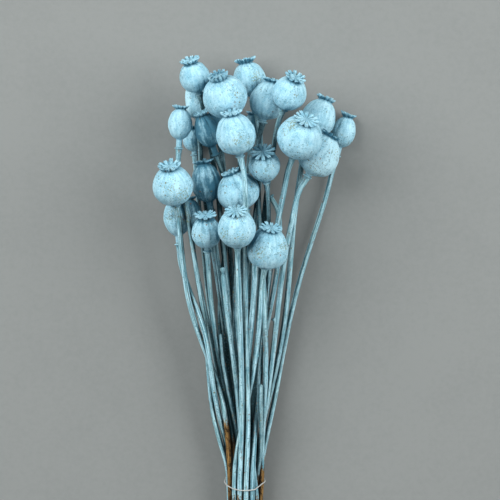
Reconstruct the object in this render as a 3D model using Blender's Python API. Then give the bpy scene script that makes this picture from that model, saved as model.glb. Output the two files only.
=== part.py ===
"""A tied bunch of dried poppy seed heads, lying on a table.

Each poppy is one grown piece: a ribbed capsule under its scalloped crown, a collar below it, and a long
stem. The stems run through a thin elastic tie and end in cut ends. The row frame is in metres with +Z up,
the stems along Y and the heads towards +Y. The layout is worked out in millimetres.
"""

import math
from collections import namedtuple

import bmesh
import bpy
import numpy as np
from mathutils import Matrix, Vector

MM = 0.001

# Heads, in millimetres and degrees. x, y and z place the middle of the capsule: x across the bunch, y along
# it and z above the table. lean turns the head to the right and nod lifts its crown off the table. belly
# moves the widest part of the capsule: under 1 towards the stem, over 1 towards the crown. A ray is one
# lobe of the crown, and the capsule has as many ribs. route is the stem's x at each of ROUTE_Y.
Poppy = namedtuple("Poppy", "x y z wide tall lean nod belly crown rays route")
POPPIES = (
    Poppy(-47, 147, 51, 25.8, 26.0, -16, 21, 0.95, 18.0, 11, (-18, -12, -10, -12)),
    Poppy(-21, 129, 68, 38.0, 35.0, -19, 28, 1.00, 19.0, 12, (-15, -10, -4, -4)),
    Poppy(-1, 146.7, 17, 28.3, 29.0, -12, 5, 0.95, 20.0, 11, (-3, 0, 2, 0)),
    Poppy(15.5, 127.5, 43, 31.0, 32.0, 14, 6, 0.90, 20.0, 12, (14, 10, 10, 9)),
    Poppy(33, 132, 69, 29.3, 28.5, 21, 32, 1.00, 19.0, 10, (10, 7, 5, 5)),
    Poppy(59, 113, 31, 30.2, 31.0, 22, -3, 0.85, 17.5, 11, (33, 24, 15, 8)),
    Poppy(81, 102, 12, 20.6, 26.5, 16, 2, 0.95, 14.5, 9, (37, 26, 17, 11)),
    Poppy(42, 94, 80, 38.6, 36.0, 20, 38, 1.00, 22.0, 12, (14, 10, 7, 3)),
    Poppy(59, 81, 48, 34.3, 35.5, 30, 5, 0.85, 18.0, 11, (26, 18, 11, 5)),
    Poppy(-59, 107, 49, 20.6, 26.0, 3, 3, 1.00, 14.5, 9, (-42, -34, -29, -19)),
    Poppy(-38, 101, 45, 21.0, 29.0, -20, 20, 0.95, 13.5, 9, (-28, -22, -15, -12)),
    Poppy(-49, 95, 9, 18.2, 19.0, -5, 3, 1.00, 11.5, 8, (-35, -29, -21, -15)),
    Poppy(-12, 97, 86, 33.5, 34.0, -12, 18, 0.90, 19.0, 11, (-5, -3, -3, -3)),
    Poppy(12, 71, 64, 26.6, 28.0, -7, 42, 1.05, 21.5, 11, (11, 6, 6, 3)),
    Poppy(-65, 54, 72, 34.3, 33.0, -9, 28, 0.95, 20.5, 10, (-46, -31, -25, -15)),
    Poppy(-38, 57, 33, 25.8, 33.0, -9, 6, 0.90, 18.5, 10, (-22, -14, -10, -9)),
    Poppy(-11, 50, 48, 36.5, 32.0, -22, 12, 0.90, 17.0, 11, (2, -3, -4, -4)),
    Poppy(-62, 27, 44, 24.0, 30.0, -4, 4, 1.10, 15.0, 9, (-44, -32, -24, -16)),
    Poppy(-37, 15, 62, 25.0, 27.0, -3, 24, 0.90, 19.5, 10, (-32, -26, -19, -9)),
    Poppy(-11, 18, 96, 31.8, 32.5, -2, 36, 0.95, 19.5, 12, (-9, -7, -6, -6)),
    Poppy(15, 2, 76, 34.6, 34.0, 9, 28, 0.80, 19.5, 11, (14, 3, -5, -10)),
    Poppy(-46, 127, 30, 18.9, 24.0, -5, 2, 1.00, 13.0, 8, (-25, -19, -14, -14)),
    Poppy(-29, 109, 22, 20.0, 22.0, -10, 2, 1.00, 13.0, 8, (-16, -9, -2, -2)),
    Poppy(2, 107, 9, 18.6, 20.5, 5, 3, 1.00, 12.5, 8, (-9, -4, 0, 0)),
    Poppy(-49, 34, 27, 17.7, 21.0, -4, 4, 1.00, 12.0, 8, (-37, -29, -22, -17)),
)
ROUTE_Y = (-45.0, -100.0, -150.0, -199.0)  # where the stems pass at the four distances of a route
LYING = (6, 11, 23)  # the heads that lie on the table, each on a small flat spot

# Stems whose heads have broken off: the place of the broken tip, and the way it points.
Bare = namedtuple("Bare", "x y z lean nod route")
BARE_STEMS = (
    Bare(-23, -15, 44, -4, 4, (-20, -12, -9, -8)),
    Bare(17.5, 46, 33, -28, 6, (15, 8, 3, 0)),
    Bare(-25, -72, 36, -4, 4, (-26, -22, -15, -10)),
    Bare(9, -115, 41, 1, 4, (10, 10, 10, 8)),
)

# The tie, and the waist below it where the stems are packed closest.
TIE_X, TIE_Y, TIE_RADIUS = -4.7, -199.0, 17.3
TIE_Z = 18.2
TIE_LEAN = 0.45  # how far the tie slopes along the stems for each millimetre of height
TIE_THICK = 1.1
WAIST_Y, WAIST_RADIUS, WAIST_Z = -224.0, 15.4, 15.4
CUT_Y, CUT_SPREAD = -292.0, 9.0

# Stems.
STEM_NECK = 1.74  # radius of the thinnest stem
STEM_PER_WIDE = 0.018  # added radius for each millimetre of the head's width
STEM_TAPER = 1.03  # how much thicker a stem is at its cut end
STEM_SIDES = 6
STATION = 22.0  # distance between the rings of a stem
STRAIGHT = 13.0  # straight stretch under each head

# Heads.
COLLAR_OVER_STEM = 1.7  # the collar's radius, for each of the stem's
COLLAR_THICK = 1.7
FOOT = 0.24  # radius of the capsule's foot, for each of its largest
SHOULDER = 0.38  # radius under the crown, for each of the capsule's largest
FULLNESS = 0.66  # under 1 rounds the capsule out
CAPSULE_RINGS = (0.0, 0.09, 0.26, 0.48, 0.72, 0.92, 1.0)
CROWN_THICK = 0.9
CROWN_LIFT = 1.3  # from the shoulder up to the underside of the lobes
CROWN_NOTCH = 0.78  # radius between two lobes, for each of the lobes' own
FLAT_DEPTH = 0.5  # how much of a lying head is flattened by the table

# Clearances.
GAP = 0.45
TABLE_GAP = 0.05

LEVEL = 5.0  # stems are kept apart at cross sections this far apart
HEAD_ROUNDS, TIE_ROUNDS, STEM_ROUNDS, LAST_ROUNDS = 200, 300, 300, 160
STIFFNESS = 0.10
ROUTE_PULL = 0.05  # how strongly a stem keeps to its route, in each round


def direction(lean, nod):
    """The way a head points, as a unit vector."""
    a, b = math.radians(lean), math.radians(nod)
    return np.array([math.sin(a) * math.cos(b), math.cos(a) * math.cos(b), math.sin(b)])


def stem_radius(poppy):
    return STEM_NECK + STEM_PER_WIDE * poppy.wide


def gynophore(poppy):
    """Length of the narrow neck between the collar and the capsule: the slender heads have the longest."""
    return min(7.0, 1.4 + 20.0 * max(0.0, poppy.tall / poppy.wide - 1.0))


def capsule_radius(poppy, t):
    """Radius of the capsule at t, from 0 at its foot to 1 at its shoulder."""
    widest = poppy.wide / 2
    end = widest * (FOOT + (SHOULDER - FOOT) * t)
    return end + (widest - end) * math.sin(math.pi * t**poppy.belly) ** FULLNESS


def base_of(poppy, centre):
    """Where the stem meets the collar."""
    along = poppy.tall / 2 + gynophore(poppy) + COLLAR_THICK
    return centre - along * direction(poppy.lean, poppy.nod)


def balls_of(poppy):
    """Balls that stand for a head while it is settled, as offsets from its middle and radii."""
    axis = direction(poppy.lean, poppy.nod)
    side = np.cross(axis, [0.0, 0.0, 1.0])
    side /= np.linalg.norm(side)
    up = np.cross(side, axis)
    widest = poppy.wide / 2
    balls = []
    for t in (0.12, 0.3, 0.5, 0.7, 0.88):
        balls.append(((t - 0.5) * poppy.tall * axis, min(capsule_radius(poppy, t), widest * 0.99)))
    crown = (poppy.tall / 2 + CROWN_LIFT + CROWN_THICK / 2) * axis
    rim = poppy.crown / 2 - 0.8
    for k in range(12):
        turn = 2 * math.pi * k / 12
        balls.append((crown + rim * (math.cos(turn) * side + math.sin(turn) * up), 1.5))
    for k in range(6):
        turn = 2 * math.pi * k / 6
        balls.append((crown + rim * 0.5 * (math.cos(turn) * side + math.sin(turn) * up), 1.6))
    base = poppy.tall / 2 + gynophore(poppy) + COLLAR_THICK
    balls.append((-(base - COLLAR_THICK / 2) * axis, stem_radius(poppy) * COLLAR_OVER_STEM))
    for k in range(5):
        balls.append((-(base + STRAIGHT * k / 4) * axis, stem_radius(poppy)))
    return balls


def settle_heads():
    """Moves the heads apart where they would touch, mostly up and down, and returns their middles."""
    middles = np.array([[p.x, p.y, p.z] for p in POPPIES], float)
    owner, offsets, radii = [], [], []
    for i, poppy in enumerate(POPPIES):
        for offset, radius in balls_of(poppy):
            owner.append(i)
            offsets.append(offset)
            radii.append(radius)
    owner, offsets, radii = np.array(owner), np.array(offsets), np.array(radii)
    for i in LYING:
        middles[i, 2] = POPPIES[i].wide / 2 - FLAT_DEPTH
    needed = radii[:, None] + radii[None, :] + GAP
    strangers = owner[:, None] != owner[None, :]
    ease = np.array([0.35, 0.35, 1.0])
    free = np.ones((len(POPPIES), 3))
    free[list(LYING), 2] = 0.0
    for _ in range(HEAD_ROUNDS):
        places = middles[owner] + offsets
        apart = places[:, None, :] - places[None, :, :]
        distance = np.linalg.norm(apart, axis=2) + 1e-9
        short = np.where(strangers, needed - distance, 0.0).clip(0.0)
        push = (apart / distance[..., None]) * short[..., None] * 0.5
        shift = np.zeros_like(middles)
        for i in range(len(POPPIES)):
            mine = push[owner == i].reshape(-1, 3)
            strength = np.linalg.norm(mine, axis=1)
            if strength.max() > 0:
                shift[i] = mine[strength > 0.5 * strength.max()].mean(axis=0)
        middles += shift * ease * free
        lowest = np.array([(places[owner == i, 2] - radii[owner == i]).min() for i in range(len(POPPIES))])
        middles[:, 2] += (TABLE_GAP + 0.1 - lowest).clip(0.0) * free[:, 2]
    return middles, owner, offsets, radii


def cut_end(index):
    """How far down the bunch a stem is cut."""
    return CUT_Y + CUT_SPREAD * math.sin(2.4 * index + 0.6)


def curve_through(knots, values, first_slope, last_slope, at):
    """A smooth curve through the values at the knots, with the slopes given at its two ends."""
    knots, values, at = np.array(knots), np.array(values), np.array(at)
    slopes = np.gradient(values, knots)
    slopes[0], slopes[-1] = first_slope, last_slope
    k = np.clip(np.searchsorted(knots, at) - 1, 0, len(knots) - 2)
    width = knots[k + 1] - knots[k]
    t = (at - knots[k]) / width
    return (
        (2 * t**3 - 3 * t**2 + 1) * values[k]
        + (t**3 - 2 * t**2 + t) * slopes[k] * width
        + (-2 * t**3 + 3 * t**2) * values[k + 1]
        + (t**3 - t**2) * slopes[k + 1] * width
    )


class Stem:
    """The middle line of a stem: its points from the cut end up to the collar or the broken tip."""

    def __init__(self, index, top, way, radius, route, tie_z, owner):
        self.radius, self.owner = radius, owner
        low = cut_end(index)
        bend = top - STRAIGHT * way
        ys = np.linspace(low, bend[1], max(4, round((bend[1] - low) / STATION)) + 1)
        passed = [(y, x) for y, x in zip(ROUTE_Y, route) if y < bend[1] - 12.0]
        knots = [y for y, _ in reversed(passed)] + [bend[1]]
        xs = curve_through(knots, [x for _, x in reversed(passed)] + [bend[0]], 0.0, way[0] / way[1], ys)
        rise = way[2] / way[1]
        before = min(50.0, 0.4 * (bend[1] - TIE_Y))
        knots = [TIE_Y, bend[1] - before, bend[1]]
        zs = curve_through(knots, [tie_z, bend[2] - 0.45 * before * rise, bend[2]], 0.05, rise, ys)
        below = ys < TIE_Y
        squeeze = WAIST_RADIUS / TIE_RADIUS
        xs[below] = TIE_X + (route[-1] - TIE_X) * squeeze
        zs[below] = WAIST_Z + (tie_z - TIE_Z) * squeeze
        self.y = np.append(ys, top[1])
        self.xz = np.column_stack([np.append(xs, top[0]), np.append(zs, top[2])])
        self.route = self.xz.copy()
        self.free = np.ones(len(self.y))
        self.free[-2:] = 0.0
        self.guided = self.free * (self.y > TIE_Y + 15.0)

    def taper(self, y):
        """Radius at y: thicker towards the cut end."""
        share = (self.y[-1] - y) / (self.y[-1] - CUT_Y)
        return self.radius * (1 + (STEM_TAPER - 1) * np.clip(share, 0, 1))

    def across(self, y):
        """Radius of the section at y, which grows where the stem runs aslant."""
        slope = np.interp(y, self.y, np.linalg.norm(np.gradient(self.xz, self.y, axis=0), axis=1))
        return self.taper(y) * np.sqrt(1 + np.minimum(slope, 1.2) ** 2) * 1.02

    def points(self):
        return np.column_stack([self.xz[:, 0], self.y, self.xz[:, 1]])


def first_stems(middles):
    """The stems as they would run with nothing in their way."""
    planned = []
    for i, poppy in enumerate(POPPIES):
        top = base_of(poppy, middles[i])
        planned.append((top, direction(poppy.lean, poppy.nod), stem_radius(poppy), poppy.route, i))
    for bare in BARE_STEMS:
        top = np.array([bare.x, bare.y, bare.z], float)
        planned.append((top, direction(bare.lean, bare.nod), STEM_NECK + 0.35, bare.route, -1))
    slots = pack_tie(planned)
    stems = []
    for index, (top, way, radius, route, owner) in enumerate(planned):
        route = (*route[:-1], slots[index, 0])
        stems.append(Stem(index, top, way, radius, route, slots[index, 1], owner))
    return stems


def pack_tie(planned):
    """Where each stem passes through the tie: high in it for a high head, and clear of the other stems."""
    radii = np.array([radius for _, _, radius, _, _ in planned])
    inner = TIE_RADIUS - TIE_THICK / 2 - radii - GAP
    wanted = []
    for (top, _, _, route, _), limit in zip(planned, inner):
        across = np.clip(route[-1] - TIE_X, -0.98 * limit, 0.98 * limit)
        height = np.clip((top[2] - 48.0) / 40.0, -0.95, 0.95)
        wanted.append((across, height * math.sqrt(limit**2 - across**2)))
    wanted = np.array(wanted)
    at = wanted.copy()
    others = ~np.eye(len(at), dtype=bool)
    for step in range(TIE_ROUNDS):
        apart = at[:, None] - at[None, :]
        distance = np.linalg.norm(apart, axis=2) + 1e-9
        short = np.where(others, radii[:, None] + radii[None, :] + GAP - distance, 0.0).clip(0.0)
        at = at + ((apart / distance[..., None]) * short[..., None] * 0.4).sum(axis=1)
        if step < TIE_ROUNDS * 0.7:
            at = at + 0.02 * (wanted - at)
        far = np.linalg.norm(at, axis=1) + 1e-9
        at = at * np.minimum(1.0, inner / far)[:, None]
    return at + np.array([TIE_X, TIE_Z])


def parted(at, reach, both):
    """How far each stem section should move off the others."""
    apart = at[:, None] - at[None, :]
    distance = np.linalg.norm(apart, axis=3) + 1e-9
    short = np.where(both, reach[:, None] + reach[None, :] + GAP - distance, 0.0).clip(0.0)
    return ((apart / distance[..., None]) * short[..., None] * 0.5).sum(axis=1)


def off_balls(at, reach, mine, level, along, places, radii):
    """How far each stem section should move off the balls of the heads. level is the cross section that
    each ball is tested at, and along its distance from the ball's middle."""
    away = at[:, level] - places[:, [0, 2]]
    section = np.sqrt(((radii + reach[:, level] + GAP) ** 2 - along**2).clip(0.0))
    far = np.linalg.norm(away, axis=2) + 1e-9
    deep = np.where(mine, section - far, 0.0).clip(0.0)
    total = np.zeros(at.shape)
    share = np.full(at.shape[:2], 1e-9)
    rows, pairs = np.nonzero(deep)
    depth = deep[rows, pairs]
    np.add.at(total, (rows, level[pairs]), away[rows, pairs] / far[rows, pairs, None] * (depth**2)[:, None])
    np.add.at(share, (rows, level[pairs]), depth)
    return total / share[..., None]


def smoothing(line):
    """The pull that straightens a line of points."""
    bend = np.zeros_like(line)
    second = line[2:] - 2 * line[1:-1] + line[:-2]
    bend[1:-1] -= 2 * second
    bend[2:] += second
    bend[:-2] += second
    return bend


def lay_stems(stems, middles, owner, offsets, radii):
    """Keeps the stems apart, clear of the heads, above the table and inside the tie, in smooth curves."""
    levels = np.arange(CUT_Y - CUT_SPREAD, max(s.y[-1] for s in stems), LEVEL)
    weights, inside = [], []
    for stem in stems:
        on = (levels >= stem.y[0]) & (levels <= stem.y[-1])
        eye = np.eye(len(stem.y))
        weights.append(np.array([np.interp(levels, stem.y, row) for row in eye]).T * on[:, None])
        inside.append(on)
    inside = np.array(inside)
    both = inside[:, None, :] & inside[None, :, :]
    both[np.arange(len(stems)), np.arange(len(stems)), :] = False
    places = middles[owner] + offsets
    strangers = np.array([s.owner for s in stems])[:, None]
    ball, level = np.nonzero(np.abs(levels[None, :] - places[:, 1, None]) < radii[:, None] + 4.5)
    along = levels[level] - places[ball, 1]
    mine = inside[:, level] & (strangers != owner[ball][None, :])
    centre = np.stack([np.full_like(levels, TIE_X), np.interp(levels, [WAIST_Y, TIE_Y], [WAIST_Z, TIE_Z])], 1)
    room = np.interp(levels, [WAIST_Y, TIE_Y], [WAIST_RADIUS, TIE_RADIUS - TIE_THICK / 2])
    gathered = (levels < TIE_Y + 12.0)[None, :] & inside
    for step in range(STEM_ROUNDS + LAST_ROUNDS):
        if step % 20 == 0:
            reach = np.array([s.across(levels) for s in stems])
        at = np.array([w @ s.xz for w, s in zip(weights, stems)])
        push = parted(at, reach, both)
        push += off_balls(at, reach, mine, level, along, places[ball], radii[ball])
        from_centre = at - centre
        far = np.linalg.norm(from_centre, axis=2) + 1e-9
        out = np.where(gathered, far + reach - room, 0.0).clip(0.0)
        push -= (from_centre / far[..., None]) * out[..., None]
        push[..., 1] += np.where(inside, reach + TABLE_GAP - at[..., 1] - push[..., 1], 0.0).clip(0.0)
        guiding = step < STEM_ROUNDS
        if guiding:
            push[:, levels > -70.0, 0] *= 0.5
        for stem, w, p in zip(stems, weights, push):
            hit = (np.abs(p).sum(axis=1) > 1e-6).astype(float)
            total = (w**2).T @ hit
            move = (w.T @ p) / np.maximum(total, 0.6)[:, None]
            move -= STIFFNESS * smoothing(stem.xz) * (1.0 if guiding else 0.15)
            if guiding:
                move += ROUTE_PULL * stem.guided[:, None] * (stem.route - stem.xz) * np.array([1.0, 0.15])
            stem.xz = stem.xz + move * stem.free[:, None] * 0.8
    return stems


def clear_scene():
    for obj in list(bpy.data.objects):
        bpy.data.objects.remove(obj, do_unlink=True)


def material(name, colour, roughness):
    made = bpy.data.materials.new(name)
    made.use_nodes = True
    shader = made.node_tree.nodes["Principled BSDF"]
    shader.inputs["Base Color"].default_value = (*colour, 1.0)
    shader.inputs["Roughness"].default_value = roughness
    shader.inputs["Metallic"].default_value = 0.0
    return made


def rotation_to(axis, turn=0.0):
    """A rotation that takes +Z to axis, after a turn about Z."""
    return Vector(axis).to_track_quat("Z", "Y").to_matrix().to_4x4() @ Matrix.Rotation(turn, 4, "Z")


def add_ring(bm, centre, axis, radius, sides, turn=0.0):
    """A circle of edges across axis."""
    place = Matrix.Translation(Vector(centre) * MM) @ rotation_to(axis, turn)
    return bmesh.ops.create_circle(bm, segments=sides, radius=radius * MM, matrix=place)["verts"]


def loop_of(ring):
    return list({edge for vert in ring for edge in vert.link_edges if edge.other_vert(vert) in ring})


def bridge(bm, rings):
    loops = [loop_of(ring) for ring in rings]
    for low, high in zip(loops, loops[1:]):
        bmesh.ops.bridge_loops(bm, edges=low + high)


def stem_rings(bm, stem):
    points = stem.points()
    ways = np.gradient(points, axis=0)
    radii = stem.taper(points[:, 1])
    return [add_ring(bm, p, w, r, STEM_SIDES) for p, w, r in zip(points, ways, radii)]


def turn_down(axis):
    """The turn that puts the first corner of a ring straight below its middle."""
    down = rotation_to(axis).to_3x3().inverted() @ Vector((0.0, 0.0, -1.0))
    return math.atan2(down.y, down.x) - math.pi / 2


def head_rings(bm, poppy, middle, turn):
    """The rings of collar, capsule and crown, from the collar up, and the middle point of the crown."""
    axis = direction(poppy.lean, poppy.nod)
    neck = gynophore(poppy)
    stem = stem_radius(poppy)
    foot = -poppy.tall / 2

    def ring(along, radius, sides):
        return add_ring(bm, middle + along * axis, axis, radius, sides, turn)

    rings = [ring(foot - neck - COLLAR_THICK * 0.5, stem * COLLAR_OVER_STEM, poppy.rays)]
    rings.append(ring(foot - neck + COLLAR_THICK * 0.4, stem * 1.25, poppy.rays))
    for t in CAPSULE_RINGS:
        rings.append(ring(foot + t * poppy.tall, capsule_radius(poppy, t), poppy.rays))
    under = poppy.tall / 2 + CROWN_LIFT
    lobes = poppy.crown / 2
    for along, share in ((under, 0.97), (under + CROWN_THICK, 1.0)):
        rim = ring(along, lobes * share, 2 * poppy.rays)
        for k, vert in enumerate(rim):
            if k % 2:
                spot = Vector((middle + along * axis) * MM)
                vert.co = spot + (vert.co - spot) * CROWN_NOTCH
        rings.append(rim)
    rings.append(ring(under + CROWN_THICK + 0.5, lobes * 0.45, poppy.rays))
    pole = bm.verts.new(Vector((middle + (under + CROWN_THICK + 0.1) * axis) * MM))
    return rings, pole


def finish_mesh(bm, name, paint):
    bmesh.ops.recalc_face_normals(bm, faces=bm.faces)
    for face in bm.faces:
        face.smooth = True
    mesh = bpy.data.meshes.new(name)
    bm.to_mesh(mesh)
    bm.free()
    mesh.set_sharp_from_angle(angle=math.radians(50))
    mesh.materials.append(paint)
    made = bpy.data.objects.new(name, mesh)
    bpy.context.scene.collection.objects.link(made)
    return made


def make_poppy(name, stem, poppy, middle, turn, paint):
    bm = bmesh.new()
    rings = stem_rings(bm, stem)
    head, pole = head_rings(bm, poppy, middle, turn)
    rings += head
    bmesh.ops.contextual_create(bm, geom=loop_of(rings[0]))
    bridge(bm, rings)
    top = loop_of(rings[-1])
    for edge in top:
        bm.faces.new((edge.verts[0], edge.verts[1], pole))
    for vert in bm.verts:
        vert.co.z = max(vert.co.z, 0.0)
    return finish_mesh(bm, name, paint)


def make_bare_stem(name, stem, paint):
    bm = bmesh.new()
    rings = stem_rings(bm, stem)
    bmesh.ops.contextual_create(bm, geom=loop_of(rings[0]))
    bmesh.ops.contextual_create(bm, geom=loop_of(rings[-1]))
    bridge(bm, rings)
    return finish_mesh(bm, name, paint)


def tie_outline(stems, count=40):
    """The line of a taut band round the stems where they pass the sloping tie."""
    discs = []
    for stem in stems:
        z = TIE_Z
        for _ in range(5):
            y = TIE_Y - TIE_LEAN * (z - TIE_Z)
            z = np.interp(y, stem.y, stem.xz[:, 1])
        discs.append((np.interp(y, stem.y, stem.xz[:, 0]), z, float(stem.taper(y)) * 1.04))
    discs = np.array(discs)
    outline = []
    for k in range(count):
        turn = 2 * math.pi * k / count
        way = np.array([math.cos(turn), math.sin(turn)])
        far = discs[(discs[:, :2] @ way + discs[:, 2]).argmax()]
        outline.append(far[:2] + way * (far[2] + TIE_THICK / 2 + GAP * 0.7))
    return outline


def make_tie(stems, paint):
    """The elastic tie, a closed tube that follows the outline of the packed stems."""
    path = []
    for spot in tie_outline(stems):
        path.append(Vector((spot[0], TIE_Y - TIE_LEAN * (spot[1] - TIE_Z), spot[1])) * MM)
    bm = bmesh.new()
    rings = []
    for k, point in enumerate(path):
        way = path[(k + 1) % len(path)] - path[k - 1]
        rings.append(add_ring(bm, point / MM, way, TIE_THICK / 2, 5))
    bridge(bm, rings + rings[:1])
    return finish_mesh(bm, "tie", paint)


def bounds(objects):
    corners = np.array([v.co for obj in objects for v in obj.data.vertices])
    return corners.min(axis=0), corners.max(axis=0)


def build():
    clear_scene()
    painted = material("painted_poppy", (0.42, 0.68, 0.80), 0.85)
    elastic = material("elastic", (0.72, 0.70, 0.66), 0.55)
    middles, owner, offsets, radii = settle_heads()
    stems = lay_stems(first_stems(middles), middles, owner, offsets, radii)
    made = []
    for i, poppy in enumerate(POPPIES):
        turn = 0.7 * i
        if i in LYING:
            turn = turn_down(direction(poppy.lean, poppy.nod))
        made.append(make_poppy(f"poppy_{i + 1:02d}", stems[i], poppy, middles[i], turn, painted))
    for k in range(len(BARE_STEMS)):
        made.append(make_bare_stem(f"bare_stem_{k + 1}", stems[len(POPPIES) + k], painted))
    made.append(make_tie(stems, elastic))
    low, high = bounds(made)
    shift = Matrix.Translation((-(low[0] + high[0]) / 2, -(low[1] + high[1]) / 2, 0.0))
    for obj in made:
        obj.data.transform(shift)


build()
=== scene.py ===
"""A tied bunch of dried poppy seed heads with light blue paint, lying on a pale table.

Every stem, head and the tie is made anew round its plain solid: the line and the girths are measured from
the solid, and the ribs, crowns, grooves, scars and finishes are added here. Lengths are in millimetres until
a mesh is made.
"""

import math
from collections import namedtuple

import bmesh
import bpy
import numpy as np
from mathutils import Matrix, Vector, noise
from mathutils.bvhtree import BVHTree


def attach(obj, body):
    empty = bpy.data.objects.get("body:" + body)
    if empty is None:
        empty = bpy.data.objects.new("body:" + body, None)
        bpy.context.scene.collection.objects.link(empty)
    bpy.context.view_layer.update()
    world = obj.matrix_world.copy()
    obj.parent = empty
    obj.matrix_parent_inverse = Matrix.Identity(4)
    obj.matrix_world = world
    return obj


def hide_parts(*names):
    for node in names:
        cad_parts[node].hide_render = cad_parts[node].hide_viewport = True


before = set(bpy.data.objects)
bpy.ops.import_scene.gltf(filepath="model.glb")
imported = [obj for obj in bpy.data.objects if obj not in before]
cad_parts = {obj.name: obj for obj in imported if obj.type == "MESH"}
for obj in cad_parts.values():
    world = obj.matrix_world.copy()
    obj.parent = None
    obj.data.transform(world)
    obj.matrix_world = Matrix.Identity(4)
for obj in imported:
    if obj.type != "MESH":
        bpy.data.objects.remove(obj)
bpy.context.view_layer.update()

MM = 0.001
POPPY_COUNT = 25
BARE_COUNT = 4

# Crowns, from poppy_01 on. cup is how far the rim rises over the middle and frill how unevenly the tips curl,
# in millimetres. notch is how deep the cuts between the rays go, as a share of the radius. The last number
# adds painted shade to the crown, and under 0 paints it paler, as painted light.
Crown = namedtuple("Crown", "cup notch frill thin")
CROWNS = (
    Crown(1.9, 0.26, 0.7, 0.00),
    Crown(3.2, 0.50, 1.3, 0.10),
    Crown(2.0, 0.34, 1.0, 0.10),
    Crown(1.3, 0.32, 1.1, 0.10),
    Crown(1.6, 0.42, 1.1, 0.00),
    Crown(1.5, 0.34, 1.3, 0.15),
    Crown(1.8, 0.32, 1.1, 0.20),
    Crown(0.9, 0.30, 0.6, 0.05),
    Crown(1.4, 0.32, 1.3, 0.45),
    Crown(1.0, 0.24, 0.8, 0.12),
    Crown(1.4, 0.30, 1.0, -0.05),
    Crown(0.8, 0.32, 0.8, 0.10),
    Crown(1.2, 0.34, 0.9, 0.00),
    Crown(0.6, 0.38, 0.7, 0.15),
    Crown(2.2, 0.38, 1.0, 0.00),
    Crown(1.3, 0.32, 1.2, 0.28),
    Crown(1.4, 0.36, 0.9, 0.16),
    Crown(0.8, 0.32, 0.8, 0.10),
    Crown(1.3, 0.28, 0.6, 0.06),
    Crown(0.2, 0.48, 0.6, 0.10),
    Crown(0.9, 0.36, 1.0, 0.08),
    Crown(0.8, 0.32, 0.8, 0.10),
    Crown(0.8, 0.32, 0.8, 0.20),
    Crown(0.8, 0.32, 0.8, 0.20),
    Crown(0.8, 0.32, 0.8, 0.35),
)

# Capsules, from poppy_01 on. rib is how deep the ribs are, as a share of the radius, and lump how lumpy the
# skin is, in millimetres. The third number adds painted shade to the capsule, and under 0 painted light, as
# for the crowns, and barrel under 1 makes the sides straighter.
Skin = namedtuple("Skin", "rib lump thin barrel")
SKINS = (
    Skin(0.014, 0.35, 0.00, 1.0),
    Skin(0.006, 0.30, 0.00, 1.0),
    Skin(0.016, 0.80, -0.10, 1.0),
    Skin(0.018, 0.30, -0.24, 1.0),
    Skin(0.006, 0.25, 0.00, 1.0),
    Skin(0.014, 0.30, -0.15, 1.0),
    Skin(0.018, 0.30, -0.06, 1.0),
    Skin(0.006, 0.40, 0.06, 1.0),
    Skin(0.008, 0.25, -0.30, 1.0),
    Skin(0.016, 0.35, -0.06, 1.0),
    Skin(0.044, 0.60, 0.50, 1.0),
    Skin(0.020, 0.35, 0.10, 1.0),
    Skin(0.044, 0.45, 0.06, 1.0),
    Skin(0.016, 0.35, 0.05, 1.0),
    Skin(0.008, 0.25, 0.00, 1.0),
    Skin(0.050, 0.70, 0.34, 1.0),
    Skin(0.018, 0.30, 0.04, 1.0),
    Skin(0.020, 0.50, 0.00, 1.0),
    Skin(0.034, 0.70, 0.20, 1.0),
    Skin(0.008, 0.30, 0.00, 1.0),
    Skin(0.020, 0.30, 0.00, 1.0),
    Skin(0.020, 0.35, -0.50, 0.25),
    Skin(0.020, 0.35, 0.20, 1.0),
    Skin(0.020, 0.30, 0.20, 1.0),
    Skin(0.020, 0.35, 0.20, 1.0),
)

# Where the paint ends on each stem, as the place along the bunch. Below it the stem is bare brown. On stems
# that aren't named it ends near PAINT_END, about PAINT_SPREAD to either side.
PAINT_END = -150.0
PAINT_SPREAD = 9.0
PAINT_FADE = 10.0
PAINT_ENDS = {
    "poppy_15": -80.0,
    "poppy_19": -95.0,
    "bare_stem_1": -105.0,
    "bare_stem_3": -112.0,
    "poppy_04": -116.0,
    "poppy_07": -112.0,
    "bare_stem_4": -130.0,
    "poppy_09": -136.0,
    "poppy_17": -72.0,
    "poppy_03": -82.0,
    "poppy_14": -98.0,
}

# Knobs and stubs on stems: the stem, its place along the bunch, the way it points round the stem in degrees
# from the right over the top, and how far it stands out, in millimetres.
Knob = namedtuple("Knob", "stem y turn out")
KNOBS = (
    Knob("poppy_09", 8.0, 178, 2.7),
    Knob("poppy_21", -22.0, 20, 0.9),
    Knob("poppy_10", -60.0, 140, 0.6),
    Knob("poppy_06", -20.0, 60, 0.6),
    Knob("poppy_18", -75.0, 100, 0.6),
    Knob("poppy_17", -40.0, 70, 0.5),
)

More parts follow.
